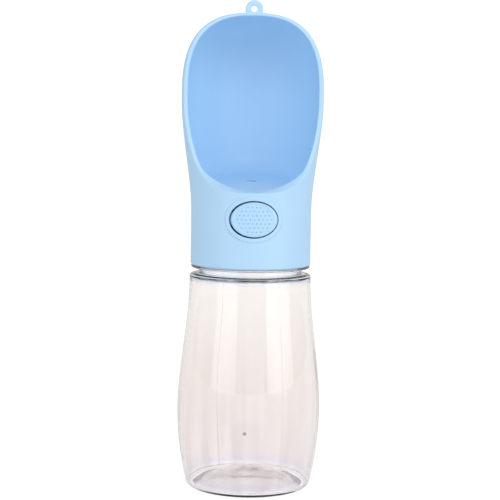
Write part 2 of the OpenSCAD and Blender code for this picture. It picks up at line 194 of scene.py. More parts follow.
# Bottle. A clear copolyester bottle, blown in a two-part mould: a parting line runs down
# two sides, the base is pushed up round the gate, and the neck carries a 4.5 mm thread.
bottle_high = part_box("bottle")[1]
bottle_r = bottle_high[0] + 0.2 * mm
mouth_z = bottle_high[2]
collar_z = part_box("head_shell")[0][2]
shoulder_z = collar_z - 8.6 * mm
shoulder_r = 31.9 * mm
widest_z = 41 * mm
side_low_steps = 34
side_high_steps = 56
side_end_z = shoulder_z + 1.5 * mm
base_taper = 4.5 * mm
chime_z = 2.2 * mm
bottle_wall = 1.6 * mm
bottle_steps = 192
base_wall = 2 * mm
corner_wall = 1.4 * mm
corner_fade = 10 * mm
corner_r = 1.8 * mm
push_up_h = 7 * mm
push_up_r = 25 * mm
push_up_foot = 0.6 * mm
push_up_bulge = 1.15
push_up_steps = 60
valley_z = 1.7 * mm
heel_in = 1.6 * mm
heel_r = 1.0 * mm
ripple_height = 0.06 * mm
ripple_pitch = 1.5 * mm
ripple_end = 9 * mm
ripple_fade = 7 * mm
neck_r = 26.7 * mm
neck_wall = 1.8 * mm
neck_steps = 44
step_r = 1.2 * mm
step_x = shoulder_r - step_r
step_z = shoulder_z + 2.6 * mm
ledge_r = 0.7 * mm
ledge_x = step_x - 1.7 * mm
ledge_z = shoulder_z + 3.7 * mm
root_r = 0.6 * mm
root_x = neck_r + 0.8 * mm
root_z = shoulder_z + 5.1 * mm
ring_r = 31.2 * mm
ring_low = collar_z - 1.2 * mm
ring_high = collar_z - 0.1 * mm
ring_round = 0.4 * mm
lip_round = 0.5 * mm
lip_inner_round = 0.4 * mm
thread_pitch = 4.5 * mm
thread_height = 1.1 * mm
thread_crest = 0.9 * mm
thread_flank = 0.9 * mm
thread_start = 119.2 * mm
thread_turns = 1.6
thread_fade = 0.12
parting_turn = math.radians(26)
parting_w = 0.5 * mm
parting_height = 0.11 * mm


def ease(t):
    """Eases from 0 to 1."""
    t = np.clip(t, 0, 1)
    return t * t * (3 - 2 * t)


def arc(cx, cz, r, start, end, steps):
    """Points on an arc about (cx, cz), from one angle in degrees to another."""
    return [
        (cx + r * math.cos(math.radians(a)), cz + r * math.sin(math.radians(a)))
        for a in np.linspace(start, end, steps + 1)
    ]


def spun(points, steps):
    """A bmesh with this outline of (radius, height) points turned about Z."""
    bm = bmesh.new()
    row = [bm.verts.new((r, 0, z)) for r, z in points]
    edges = [bm.edges.new(pair) for pair in zip(row, row[1:])]
    bmesh.ops.spin(
        bm,
        geom=row + edges,
        cent=(0, 0, 0),
        axis=(0, 0, 1),
        angle=2 * math.pi,
        steps=steps,
        use_merge=True,
    )
    bmesh.ops.remove_doubles(bm, verts=bm.verts, dist=1e-7)
    bmesh.ops.recalc_face_normals(bm, faces=bm.faces)
    return bm


side_dz = widest_z - chime_z
side_arc = (side_dz ** 2 + base_taper ** 2) / (2 * base_taper)
side_angle = math.asin(side_dz / side_arc)
chime_r = chime_z / (1 - math.sin(side_angle))
foot_r = bottle_r - base_taper - chime_r * math.cos(side_angle)


def bottle_side(inset):
    """The bottle's side from the foot to the shoulder, set in by a wall."""
    thin = min(inset, corner_wall)
    points = []
    for z in np.linspace(chime_z, widest_z, side_low_steps):
        wall = thin + (inset - thin) * float(ease((z - chime_z) / corner_fade))
        points.append((bottle_r - side_arc + math.sqrt(side_arc ** 2 - (widest_z - z) ** 2) - wall, z))
    for z in np.linspace(widest_z, shoulder_z, side_high_steps)[1:]:
        full = float(ease((side_end_z - z) / (side_end_z - widest_z)))
        points.append((shoulder_r + (bottle_r - shoulder_r) * full - inset, z))
    return points


def push_up(top, foot, ripples):
    """The dome pushed up into the base, from the centre out, with rings round the gate."""
    points = []
    for r in np.linspace(0, push_up_r, push_up_steps):
        z = foot + (top - foot) * math.cos(math.pi / 2 * (r / push_up_r) ** push_up_bulge)
        fade = float(ease((ripple_end - r) / ripple_fade))
        points.append((r, z + ripples * fade * math.cos(2 * math.pi * r / ripple_pitch)))
    return points


# From the centre of the base out and up: the push-up, heel, chime and side, then the
# shoulder's step in three bends, the ring under the collar, the neck and its lip
outside = (
    push_up(push_up_h, push_up_foot, ripple_height)
    + arc(foot_r - heel_in, heel_r, heel_r, -140, -90, 3)
    + arc(foot_r, chime_r, chime_r, -90, -math.degrees(side_angle), 8)[:-1]
    + bottle_side(0)
    + arc(step_x, step_z, step_r, 8, 75, 4)
    + arc(ledge_x, ledge_z, ledge_r, -20, 80, 4)
    + arc(root_x, root_z, root_r, -115, -180, 4)
    + [(neck_r + 0.2 * mm, ring_low)]
    + arc(ring_r - ring_round, ring_low + ring_round, ring_round, -90, 0, 3)
    + arc(ring_r - ring_round, ring_high - ring_round, ring_round, 0, 90, 3)
    + [(neck_r + 0.3 * mm, ring_high)]
    + [(neck_r, z) for z in np.linspace(ring_high + 0.3 * mm, mouth_z - lip_round, neck_steps)]
    + arc(neck_r - lip_round, mouth_z - lip_round, lip_round, 30, 90, 2)
)
mouth_r = neck_r - neck_wall
corner_x = bottle_r - base_taper - corner_wall - corner_r
inside = (
    push_up(push_up_h + base_wall, valley_z, 0)
    + arc(corner_x, valley_z + corner_r, corner_r, -90, -math.degrees(side_angle), 8)[:-1]
    + bottle_side(bottle_wall)
    + arc(step_x - 1.8 * mm, shoulder_z + 1.6 * mm, 1.0 * mm, 8, 70, 4)
    + arc(mouth_r + 0.8 * mm, shoulder_z + 4.1 * mm, 0.8 * mm, -110, -180, 4)
    + [(mouth_r, z) for z in np.linspace(shoulder_z + 5 * mm, mouth_z - lip_inner_round, 10)]
    + arc(mouth_r + lip_inner_round, mouth_z - lip_inner_round, lip_inner_round, 150, 90, 2)
)
bm = spun(outside + inside[::-1], bottle_steps)
# The thread is raised out of the neck's own wall, and fades out at both ends
for v in bm.verts:
    radius = math.hypot(v.co.x, v.co.y)
    if abs(radius - neck_r) < 0.05 * mm and v.co.z > ring_high:
        turns = math.atan2(v.co.y, v.co.x) / (2 * math.pi) % 1
        rise = 0
        for run in (turns, turns + 1, turns + 2):
            off = abs(v.co.z - thread_start - thread_pitch * run)
            ends = float(ease(run / thread_fade) * ease((thread_turns - run) / thread_fade))
            flank = float(ease((thread_crest / 2 + thread_flank - off) / thread_flank))
            rise = max(rise, ends * flank)
        v.co.xy = v.co.xy * (1 + thread_height * rise / radius)
# Parting lines: three cuts side by side, with the middle one raised
across = Vector((math.cos(parting_turn), math.sin(parting_turn), 0))
for shift in (-parting_w / 2, 0, parting_w / 2):
    bmesh.ops.bisect_plane(
        bm,
        geom=bm.verts[:] + bm.edges[:] + bm.faces[:],
        dist=1e-7,
        plane_co=across * shift,
        plane_no=across,
    )
for v in bm.verts:
    radius = math.hypot(v.co.x, v.co.y)
    outer = radius > neck_r + 1 * mm and v.co.z < shoulder_z + 3 * mm
    if outer and abs(v.co.dot(across)) < 0.01 * mm and v.normal.xy.dot(v.co.xy) > 0:
        v.co.xy = v.co.xy * (1 + parting_height / radius)
# A moulding pip, left on the front of the side a little above the base: a grey scar with
# a shallow groove round it, on a finer patch of mesh
pip_at = Vector((-3.4 * mm, -37.2 * mm, 34.7 * mm))
pip_r = 0.8 * mm
pip_top_r = pip_r / 3
pip_height = 0.6 * mm
pip_dish = 1.9 * mm
pip_patch = 3 * mm
groove_r = 1.25 * mm
groove_half_w = 0.6 * mm
groove_depth = 0.3 * mm
skin = set()
for f in bm.faces:
    at = f.calc_center_median()
    near = math.hypot(at.x - pip_at.x, at.z - pip_at.z) < pip_patch
    if near and f.normal.y < -0.5 and at.xy.length > bottle_r - 1.5 * bottle_wall:
        skin.add(f)
bmesh.ops.subdivide_edges(bm, edges=list({e for f in skin for e in f.edges}), cuts=7, use_grid_fill=True)
radii, heights = zip(*bottle_side(0))
for v in bm.verts:
    reach = math.hypot(v.co.x - pip_at.x, v.co.z - pip_at.z)
    radius = float(np.interp(v.co.z, heights, radii))
    if v.co.y < 0 and reach < pip_dish and v.co.xy.length > radius - 0.5 * mm:
        radius += pip_height * float(ease((pip_r - reach) / (pip_r - pip_top_r)))
        radius -= groove_depth * float(ease(1 - abs(reach - groove_r) / groove_half_w))
        v.co.xy = v.co.xy * (radius / v.co.xy.length)
# Clear copolyester, blown and left polished by the mould: glossy, with a faint warm grey
# that deepens with the depth of wall looked through, and a colour that darkens towards the
# foot. Over the heel a lavender cast is painted in, which is painted light, and at the
# shoulder a pale blue, a painted reflection of the blue head. The wall stretched as it was
# blown, which leaves slow waves down its side; paler bands painted down it are painted
# reflections of the room
# Heights and colours up the bottle: the lavender at 5 mm is painted light, and the pale blue above the
# shoulder is a painted reflection of the head
tint_and_painted_light_levels = (
    (0, "#F8F7FC"),
    (2.2 * mm, "#F8F7FC"),
    (5 * mm, "#E4E1EF"),
    (9 * mm, "#ECE7E7"),
    (50 * mm, "#F2ECEA"),
    (95 * mm, "#FAF7F5"),
    (shoulder_z, "#FAF7F5"),
    (shoulder_z + 2 * mm, "#DDEAF8"),
    (mouth_z, "#F4F8FC"),
)
wall_tint = "#C4AAA0"
wall_density = 28
# Size of the paler bands down the side, which are painted reflections of the room
reflection_band_w, reflection_band_h = 10.5 * mm, 263 * mm
wave_w, wave_h = 9.1 * mm, 75.8 * mm
wave_relief = 0.35 * mm
clear_plastic, shader = start_material("clear_copolyester", IOR=1.56, Transmission_Weight=1.0)
place = add_node(clear_plastic, "TexCoord").outputs["Object"]
height = add_node(clear_plastic, "SeparateXYZ", {"Vector": place}).outputs["Z"]
level = add_node(clear_plastic, "MapRange", {"Value": height, "From Max": mouth_z})
tint_and_painted_light = add_node(clear_plastic, "ValToRGB", {"Fac": level.outputs["Result"]})
stops = tint_and_painted_light.color_ramp.elements
for z, code in tint_and_painted_light_levels:
    stop = stops[0] if z == 0 else stops[-1] if z == mouth_z else stops.new(z / mouth_z)
    stop.color = colour(code)
# Paler bands down the side, mixed towards white: painted reflections of the room's light
drawn = add_node(clear_plastic, "Mapping", {"Vector": place, "Scale": (1, 1, reflection_band_w / reflection_band_h)})
painted_reflection_bands = add_node(
    clear_plastic, "TexNoise", {"Vector": drawn.outputs["Vector"], "Scale": 1 / reflection_band_w, "Detail": 2}
)
paler = add_node(
    clear_plastic,
    "MapRange",
    {"Value": painted_reflection_bands.outputs["Fac"], "From Min": 0.35, "From Max": 0.65, "To Max": 0.45},
)
side_tone_and_painted_light = add_node(
    clear_plastic,
    "Mix",
    {"Factor": paler.outputs["Result"], "A": tint_and_painted_light.outputs["Color"], "B": colour("#FFFFFF")},
    data_type="RGBA",
)
# The push-up is painted nearly white, a painted lightening of the shade seen through it,
# and the side's colour comes in over the heel
flat_place = add_node(clear_plastic, "Mapping", {"Vector": place, "Scale": (1, 1, 0)})
from_axis = add_node(
    clear_plastic, "VectorMath", {"Vector": flat_place.outputs["Vector"]}, operation="LENGTH"
)
heel = add_node(
    clear_plastic,
    "MapRange",
    {"Value": from_axis.outputs["Value"], "From Min": 21 * mm, "From Max": 27 * mm},
)
wall_tone = add_node(
    clear_plastic,
    "Mix",
    {"Factor": heel.outputs["Result"], "A": colour("#FFFEFE"), "B": side_tone_and_painted_light.outputs["Result"]},
    data_type="RGBA",
)
# The pip's torn skin is grey
from_pip = add_node(clear_plastic, "VectorMath", {0: place, 1: pip_at}, operation="DISTANCE")
torn = add_node(
    clear_plastic,
    "MapRange",
    {
        "Value": from_pip.outputs["Value"],
        "From Min": 0.75 * mm,
        "From Max": 1.15 * mm,
        "To Min": 1,
        "To Max": 0,
    },
)
tone = add_node(
    clear_plastic,
    "Mix",
    {"Factor": torn.outputs["Result"], "A": wall_tone.outputs["Result"], "B": colour("#6E6C6B")},
    data_type="RGBA",
)
link(clear_plastic, tone.outputs["Result"], shader, "Base Color")
# The foot is scuffed a little, which frosts it
frost = add_node(
    clear_plastic,
    "MapRange",
    {"Value": height, "From Min": 5 * mm, "From Max": 9 * mm, "To Min": 0.045, "To Max": 0.03},
)
link(clear_plastic, frost.outputs["Result"], shader, "Roughness")
body = add_node(clear_plastic, "VolumeAbsorption", {"Color": colour(wall_tint), "Density": wall_density})
out = clear_plastic.node_tree.nodes["Material Output"]
link(clear_plastic, body.outputs["Volume"], out, "Volume")
stretched = add_node(clear_plastic, "Mapping", {"Vector": place, "Scale": (1, 1, wave_w / wave_h)})
waves = add_node(
    clear_plastic, "TexNoise", {"Vector": stretched.outputs["Vector"], "Scale": 1 / wave_w, "Detail": 1.5}
)
bump = add_node(
    clear_plastic, "Bump", {"Height": waves.outputs["Fac"], "Strength": 0.25, "Distance": wave_relief}
)
link(clear_plastic, bump.outputs["Normal"], shader, "Normal")
bottle = make_piece("bottle_wall", bm, clear_plastic, 50)
# So clear a wall hardly dims the light that falls through it
bottle.visible_shadow = False
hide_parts("bottle")
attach(bottle, "bottle")


# Head shell. One moulding of pale blue ABS, with a fine matt grain from the mould: the
# collar, the trough above it with its sloping floor, the rounded rim and the hanging
# loop. It snaps over the screw cap, and its window holds the button.
collar_r = 31.5  # from here on a mesh is made in millimetres and then scaled to metres
collar_bore_r = 29.5
collar_foot_z = 117.1
foot_round = 1.2
bore_round = 0.3
flare_z = 144.0
flare_h = 59.0
head_r = 37.0
dome_z = 205.0
dome_h = 42.9
dome_power = 2.66
dome_lap = 0.5
trough_wall = 2.0
top_wall = 1.6
skirt_z = 130.5
floor_z = 160.6
floor_slope = math.tan(math.radians(7.5))
fillet_min = 0.6
fillet_max = 12.0
fillet_growth = 1.4
fillet_zs = (150.0, 200.0)
rim_front = 9.0
rim_lean = 2.5
rim_reach = 26.0
rim_rise = 49.4
rim_round = 0.75
outlet_r = 2.7
outlet_y = 2.0
outlet_boss_r = 6.5
outlet_seat_z = 157.7
around = 320
trial_rays = 2401
halvings = 40


def head_radius(z):
    """Outside radius of the head below its dome."""
    return collar_r + (head_r - collar_r) * ease((z - flare_z) / flare_h)


def crown(radius, height):
    """The dome's outline from its top down to its foot, as radii and heights."""
    a = np.linspace(math.pi / 2, 0, 160)
    return radius * np.cos(a) ** (2 / dome_power), dome_z + height * np.sin(a) ** (2 / dome_power)


def along(r, z, count):
    """This outline again at evenly spaced lengths."""
    length = np.concatenate([[0], np.cumsum(np.hypot(np.diff(r), np.diff(z)))])
    even = np.linspace(0, length[-1], count)
    return np.interp(even, length, r), np.interp(even, length, z)


samples = 600
drop = np.linspace(dome_z - dome_lap, skirt_z, 200)
crown_r, crown_z = crown(head_r, dome_h)
outer_table = along(np.append(crown_r, head_radius(drop)), np.append(crown_z, drop), samples)


def outer_point(flat):
    """Maps the unit disc, with the dome's top at its middle, onto the outside."""
    reach = np.hypot(flat[:, 0], flat[:, 1]) * (samples - 1)
    turn = np.arctan2(flat[:, 0], -flat[:, 1])
    r = np.interp(reach, np.arange(samples), outer_table[0])
    z = np.interp(reach, np.arange(samples), outer_table[1])
    return np.stack([r * np.sin(turn), -r * np.cos(turn), z], axis=1)


def inner_section(turn):
    """The trough's section at this turn from the front: dome, wall, fillet and floor."""
    fillet = max(fillet_min, fillet_max * math.sin(min(math.pi / 2, fillet_growth * turn)))
    slope = -floor_slope * math.cos(turn)
    lean = math.hypot(1, slope)

    def ball(z):
        """Where the fillet's middle is if it touches the wall at z, and the wall's slope."""
        tiny = 0.01
        steep = float(head_radius(z + tiny) - head_radius(z - tiny)) / (2 * tiny)
        norm = math.hypot(1, steep)
        r = float(head_radius(z)) - trough_wall - fillet / norm
        return r, z + fillet * steep / norm, steep, norm

    low, high = fillet_zs
    for _ in range(halvings):
        z = (low + high) / 2
        r, up, steep, norm = ball(z)
        if up > floor_z + slope * r + fillet * lean:
            high = z
        else:
            low = z
    r, up, steep, norm = ball(z)
    start = math.atan2(-steep / norm, 1 / norm)
    end = math.atan2(-1 / lean, slope / lean)
    bend = np.linspace(start, end, 16)
    top_r, top_z = crown(head_r - trough_wall, dome_h - top_wall)
    wall = np.linspace(dome_z - dome_lap, z + 0.01, 80)
    hole = -outlet_y * math.cos(turn) + math.sqrt(outlet_r ** 2 - (outlet_y * math.sin(turn)) ** 2)
    toe = r + fillet * slope / lean
    flat = np.linspace(toe, hole, 40)[1:]
    return along(
        np.concatenate([top_r, head_radius(wall) - trough_wall, r + fillet * np.cos(bend), flat]),
        np.concatenate([top_z, wall, up + fillet * np.sin(bend), floor_z + slope * flat]),
        samples,
    )


inner_table = np.array([inner_section(math.radians(a)) for a in range(181)])


def inner_point(flat):
    """Maps the unit disc onto the inside, from the dome's top to the outlet's edge."""
    reach = np.clip(np.hypot(flat[:, 0], flat[:, 1]) * (samples - 1), 0, samples - 1.001)
    turn = np.arctan2(flat[:, 0], -flat[:, 1])
    column = np.clip(np.degrees(np.abs(turn)), 0, 179.999)
    i, j = column.astype(int), reach.astype(int)
    u, v = (column - i)[:, None], (reach - j)[:, None]
    cell = inner_table.transpose(0, 2, 1)
    near = cell[i, j] * (1 - v) + cell[i, j + 1] * v
    far = cell[i + 1, j] * (1 - v) + cell[i + 1, j + 1] * v
    r, z = (near * (1 - u) + far * u).T
    return np.stack([r * np.sin(turn), -r * np.cos(turn), z], axis=1)


def rim_c(z):
    """How far the rim stands in front of the axis at a height."""
    low = rim_front + rim_reach * (1 - np.sqrt(np.clip(1 - ((dome_z - z) / rim_rise) ** 2, 0, 1)))
    return np.where(z < dome_z, low, rim_front - rim_lean * ((z - dome_z) / dome_h) ** 2)


def rays(middle, angles):
    """Unit rays from a point of the disc, and how far each goes to its edge."""
    way = np.stack([np.sin(angles), -np.cos(angles)], axis=1)
    b = way @ middle
    return way, -b + np.sqrt(b * b + 1 - middle @ middle)


def rim_rays(point, middle):
    """Rays that meet the rim at evenly spaced lengths, with where they meet it."""
    angles = np.linspace(0, 2 * math.pi, trial_rays)
    for even_already in (False, True):
        way, edge = rays(middle, angles)
        low, high = np.zeros(len(angles)), edge.copy()
        for _ in range(halvings):
            mid = (low + high) / 2
            place = point(middle + way * mid[:, None])
            open_here = -place[:, 1] > rim_c(place[:, 2])
            low, high = np.where(open_here, mid, low), np.where(open_here, high, mid)
        place = point(middle + way * low[:, None])
        if not even_already:
            length = np.concatenate([[0], np.cumsum(np.linalg.norm(np.diff(place, axis=0), axis=1))])
            angles = np.interp(np.linspace(0, length[-1], around + 1), length, angles)
    return way[:-1], edge[:-1], low[:-1], place[:-1]


def sheet(point, middle, rows):
    """Rings from the rim out to the disc's edge, and the rim itself."""
    way, edge, start, rim = rim_rays(point, middle)
    tiny = 0.01
    total = np.linalg.norm(point(middle + way * (start + tiny)[:, None]) - rim, axis=1) / tiny
    first = start + rim_round / total
    rings = [point(middle + way * (first + (edge - first) * t)[:, None]) for t in np.linspace(0, 1, rows)]
    end = middle + way * edge[:, None]
    return rings, rim, np.arctan2(end[:, 0], -end[:, 1])


def corner(start, tip, end, steps=5):
    """Rings that round a corner from one ring to the next past its tip."""
    ts = np.linspace(0, 1, steps + 2)[1:-1]
    return [(1 - t) ** 2 * start + 2 * t * (1 - t) * tip + t * t * end for t in ts]


def ring(turn, r, z, y=0.0):
    """A ring of points about an upright axis at a turn from the front."""
    return np.stack([r * np.sin(turn), y - r * np.cos(turn), z + 0 * turn], axis=1)


def net(rings):
    """A bmesh grid laid through closed rings of points, with its seam and poles merged."""
    rings = np.array(rings)
    rings = np.concatenate([rings, rings[:, :1]], axis=1)
    bm = bmesh.new()
    bmesh.ops.create_grid(bm, x_segments=rings.shape[1] - 1, y_segments=len(rings) - 1, size=1)
    for vert, place in zip(bm.verts, rings.reshape(-1, 3)):
        vert.co = place
    bmesh.ops.remove_doubles(bm, verts=bm.verts, dist=1e-4)
    bmesh.ops.recalc_face_normals(bm, faces=bm.faces)
    return bm


def to_metres(bm):
    """Turns the faces of a mesh made in millimetres outwards, and scales it."""
    bmesh.ops.recalc_face_normals(bm, faces=bm.faces)
    bmesh.ops.scale(bm, vec=(mm, mm, mm), verts=bm.verts)


# Rings run from the outlet up the trough, over the rim and down the outside to the
# collar's foot, then up its bore and back under the floor to the outlet's seat
rim_middle = np.array([0, -0.36])
sheet_rows = 84
outer_rings, outer_rim, outer_turn = sheet(outer_point, rim_middle, sheet_rows)
inner_rings, inner_rim, inner_turn = sheet(inner_point, rim_middle, sheet_rows)
band = (inner_rim - outer_rim) / np.linalg.norm(inner_rim - outer_rim, axis=1)[:, None]
outer_edge = outer_rim + band * rim_round
inner_edge = inner_rim - band * rim_round
outer_turn = np.unwrap(outer_turn)
inner_turn = np.unwrap(inner_turn)
rings = inner_rings[::-1] + corner(inner_rings[0], inner_rim, inner_edge)
rings += [inner_edge, (inner_edge + outer_edge) / 2, outer_edge]
rings += corner(outer_edge, outer_rim, outer_rings[0]) + outer_rings
rings += [ring(outer_turn, collar_r, z) for z in np.linspace(skirt_z, collar_foot_z + foot_round, 12)[1:]]
foot = arc(collar_r - foot_round, collar_foot_z + foot_round, foot_round, -12, -90, 6)
bore_foot = arc(collar_bore_r + bore_round, collar_foot_z + bore_round, bore_round, -90, -180, 3)
rings += [ring(outer_turn, r, z) for r, z in foot + bore_foot]
bore_rows = 32
bore_low = collar_foot_z + bore_round
under_round = 0.6
under_r = collar_bore_r - under_round
for t in np.linspace(0, 1, bore_rows + 1)[1:]:
    turn = outer_turn + (inner_turn - outer_turn) * 0.5 * t
    bore_high = floor_z - trough_wall - floor_slope * collar_bore_r * np.cos(turn) - under_round
    rings.append(ring(turn, collar_bore_r, bore_low + (bore_high - bore_low) * t))
for t in np.linspace(0, 1, 12):
    turn = outer_turn + (inner_turn - outer_turn) * (0.5 + 0.5 * t)
    spread = ring(turn, under_r + (outlet_boss_r - under_r) * t, 0, outlet_y * t)
    spread[:, 2] = floor_z - trough_wall + floor_slope * spread[:, 1]
    rings.append(spread)
mouth = np.arctan2(inner_rings[-1][:, 0], outlet_y - inner_rings[-1][:, 1])
rings += [ring(mouth, r, outlet_seat_z, outlet_y) for r in (outlet_boss_r, outlet_r)]
rings.append(inner_rings[-1])
bm = net(rings)
# The low boss round the window, on a finer mesh along its flank
button_z = 142.75
boss_w = 29.0
boss_h = 23.6
boss_r = 32.2
boss_flank = 0.04
flank_band = (0.84, 1.1)
skin_in = 0.3


def boss_reach(co):
    """How far out a point is from the button's centre, in ovals of the boss."""
    return math.hypot(co.x / (boss_w / 2), (co.z - button_z) / (boss_h / 2))


flank = set()
for f in bm.faces:
    at = f.calc_center_median()
    banded = flank_band[0] < boss_reach(at) < flank_band[1]
    if banded and at.y < 0 and at.xy.length > collar_r - skin_in:
        flank.add(f)
bmesh.ops.subdivide_edges(bm, edges=list({e for f in flank for e in f.edges}), cuts=3, use_grid_fill=True)
for v in bm.verts:
    radius = math.hypot(v.co.x, v.co.y)
    if v.co.y < 0 and radius > collar_r - skin_in:
        rise = max(0, boss_r - radius) * float(ease((1 - boss_reach(v.co)) / boss_flank))
        v.co.xy = v.co.xy * (1 + rise / radius)
# The window: its edge is rounded, and a landing stands round it inside the collar. Each
# step of the edge is how far it is grown and how far it lies below the face, or None
# where it has reached the landing
window_w = 25.0
window_h = 19.0
landing_y = -25.5
landing_w = 0.5
window_edge = ((0.35, 0.0), (0.15, 0.03), (0.04, 0.12), (0.0, 0.3), (0.0, None), (landing_w, None))


def oval_place(turn, grow, y):
    """A place on the window's oval, grown by so much, at this depth."""
    x = (window_w / 2 + grow) * math.cos(turn)
    return Vector((x, y, button_z + (window_h / 2 + grow) * math.sin(turn)))


def oval_turn(co, grow=0.0):
    """Turn of a point about the button's centre, and how far out it is in ovals."""
    u, v = co.x / (window_w / 2 + grow), (co.z - button_z) / (window_h / 2 + grow)
    return math.atan2(v, u), math.hypot(u, v)


def wall_y(co, r, sink=0.0):
    """Depth of the collar's face at a point, on this radius and sunk by so much."""
    return -math.sqrt(r * r - co.x * co.x) + sink


def cut_window(grow, low_r, high_r):
    """Opens the wall inside the window's oval and draws its edge onto the oval."""

    def here(v):
        return v.co.y < 0 and low_r < math.hypot(v.co.x, v.co.y) < high_r

    inside = {v for v in bm.verts if here(v) and oval_turn(v.co, grow)[1] < 1}
    known = {e for e in bm.edges if e.is_boundary}
    bmesh.ops.delete(bm, geom=list({f for v in inside for f in v.link_faces}), context="FACES")
    loop = [e for e in bm.edges if e.is_boundary and e not in known]
    for v in {v for e in loop for v in e.verts}:
        radius = math.hypot(v.co.x, v.co.y)
        place = oval_place(oval_turn(v.co, grow)[0], grow, 0)
        v.co = (place.x, wall_y(place, radius), place.z)
    return loop


loop = cut_window(1.0, collar_r - skin_in, head_r + 3)
for grow, sink in window_edge:
    grown = bmesh.ops.extrude_edge_only(bm, edges=loop)["geom"]
    for v in [g for g in grown if isinstance(g, bmesh.types.BMVert)]:
        place = oval_place(oval_turn(v.co)[0], grow, 0)
        surface = max(boss_r, float(head_radius(place.z)))
        place.y = landing_y if sink is None else wall_y(place, surface, sink)
        v.co = place
    loop = [g for g in grown if isinstance(g, bmesh.types.BMEdge) and g.is_boundary]
bore_loop = cut_window(landing_w, collar_bore_r - 0.5, collar_bore_r + 1)
bmesh.ops.bridge_loops(bm, edges=loop + bore_loop)
# The hanging loop: a rounded ring about a line along Y, cut off inside the crown's wall,
# with its sides drawn out straight below the hole
loop_z = 249.6
loop_front = -6.45
loop_t = 2.4
loop_r = 4.55
loop_hole_r = 1.65
loop_foot = 247.1
loop_round = 0.55
loop_steps = 96
section = (
    arc(loop_r - loop_round, loop_t - loop_round, loop_round, 0, 90, 4)
    + arc(loop_hole_r + loop_round, loop_t - loop_round, loop_round, 90, 180, 4)
    + arc(loop_hole_r + loop_round, loop_round, loop_round, 180, 270, 4)
    + arc(loop_r - loop_round, loop_round, loop_round, 270, 360, 4)
)
loop_bm = bmesh.new()
row = [loop_bm.verts.new((0, loop_front + y, loop_z + r)) for r, y in section]
edges = [loop_bm.edges.new(pair) for pair in zip(row, row[1:] + row[:1])]
bmesh.ops.spin(
    loop_bm,
    geom=row + edges,
    cent=(0, 0, loop_z),
    axis=(0, 1, 0),
    angle=2 * math.pi,
    steps=loop_steps,
    use_merge=True,
)
bmesh.ops.remove_doubles(loop_bm, verts=loop_bm.verts, dist=1e-4)
bmesh.ops.bisect_plane(
    loop_bm,
    geom=loop_bm.verts[:] + loop_bm.edges[:] + loop_bm.faces[:],
    dist=1e-4,
    plane_co=(0, 0, loop_foot),
    plane_no=(0, 0, 1),
    clear_inner=True,
)
bmesh.ops.holes_fill(loop_bm, edges=[e for e in loop_bm.edges if e.is_boundary])
for v in loop_bm.verts:
    radius = math.hypot(v.co.x, v.co.z - loop_z)
    sunk = (loop_z - v.co.z) / radius
    if sunk > 0:
        out = float(ease((radius - loop_hole_r) / (loop_r - loop_hole_r)))
        v.co.x *= 1 + out * (1 / math.sqrt(max(0.1, 1 - sunk * sunk)) - 1)
bmesh.ops.recalc_face_normals(loop_bm, faces=loop_bm.faces)
loop_mesh = bpy.data.meshes.new("loop")
loop_bm.to_mesh(loop_mesh)
loop_bm.free()
bm.from_mesh(loop_mesh)
bpy.data.meshes.remove(loop_mesh)
# Pillars under the floor, for the screws that hold the valve's block. Their tops end
# inside the floor
pillar_foot = 149.55
pillar_r = 3.3
pillar_sink = 1.0
pillar_xs = (-13.5, 13.5)
pillar_ys = (-5.0, 11.0)
for x in pillar_xs:
    for y in pillar_ys:
        top = floor_z - pillar_sink + floor_slope * y
        bmesh.ops.create_cone(
            bm,
            cap_ends=True,
            segments=40,
            radius1=pillar_r,
            radius2=pillar_r,
            depth=top - pillar_foot,
            matrix=Matrix.Translation((x, y, (pillar_foot + top) / 2)),
        )
to_metres(bm)
# Matt moulded ABS: pale blue all through, a little uneven in slow patches where the melt
# flowed, and dull from the mould's spark-eroded grain, drawn at 0.5 mm, coarser than the
# real one, so that it shows
flow_size = 26.3 * mm
grain_size = 0.5 * mm
grain_relief = 0.05 * mm
blue_abs, shader = start_material("matt_moulded_abs", Roughness=0.42, Specular_IOR_Level=0.5)
place = add_node(blue_abs, "TexCoord").outputs["Object"]
flow = add_node(blue_abs, "TexNoise", {"Vector": place, "Scale": 1 / flow_size, "Detail": 2})
tone = add_node(
    blue_abs,
    "Mix",
    {"Factor": flow.outputs["Fac"], "A": colour("#B2DAFA"), "B": colour("#B7DDFC")},
    data_type="RGBA",
)
link(blue_abs, tone.outputs["Result"], shader, "Base Color")
grain = add_node(blue_abs, "TexNoise", {"Vector": place, "Scale": 1 / grain_size, "Detail": 2})
gloss = add_node(blue_abs, "MapRange", {"Value": grain.outputs["Fac"], "To Min": 0.34, "To Max": 0.48})
link(blue_abs, gloss.outputs["Result"], shader, "Roughness")
bump = add_node(
    blue_abs, "Bump", {"Height": grain.outputs["Fac"], "Strength": 0.25, "Distance": grain_relief}
)
link(blue_abs, bump.outputs["Normal"], shader, "Normal")
head = make_piece("head_moulding", bm, blue_abs, 45)
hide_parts("head_shell")
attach(head, "head")


# Push button. An oval moulding of the same blue ABS: a curved face with a shallow grip
# pad of small pits, and a hollow skirt. Two tabs hold it behind the window, and the
# socket at its back takes the valve's spindle.
button_w = 23.7
button_h = 17.7
button_r = 32.2
button_edge = 0.8
button_wall = 1.6
button_t = 2.2
play = 0.3
skirt_y = -23.91
stop_y = -20.2
socket_y = -28.0
socket_r = 2.55
socket_rim = 4.5
pad_w = 19.4
pad_h = 15.7
pad_depth = 0.35
pad_edge = 0.15
pit_r = 0.44
pit_depth = 0.65
pit_steepness = 1.4
pit_pitch = 2.15
pit_row_pitch = 2.07
pit_rows = (4, 7, 8, 9, 8, 7, 4)
tab_x = 11.975
tab_y = -24.61
tab_size = (3.45, 1.4, 7.0)
tab_round = 0.25
button_turns = np.linspace(0, 2 * math.pi, 289)[:-1]


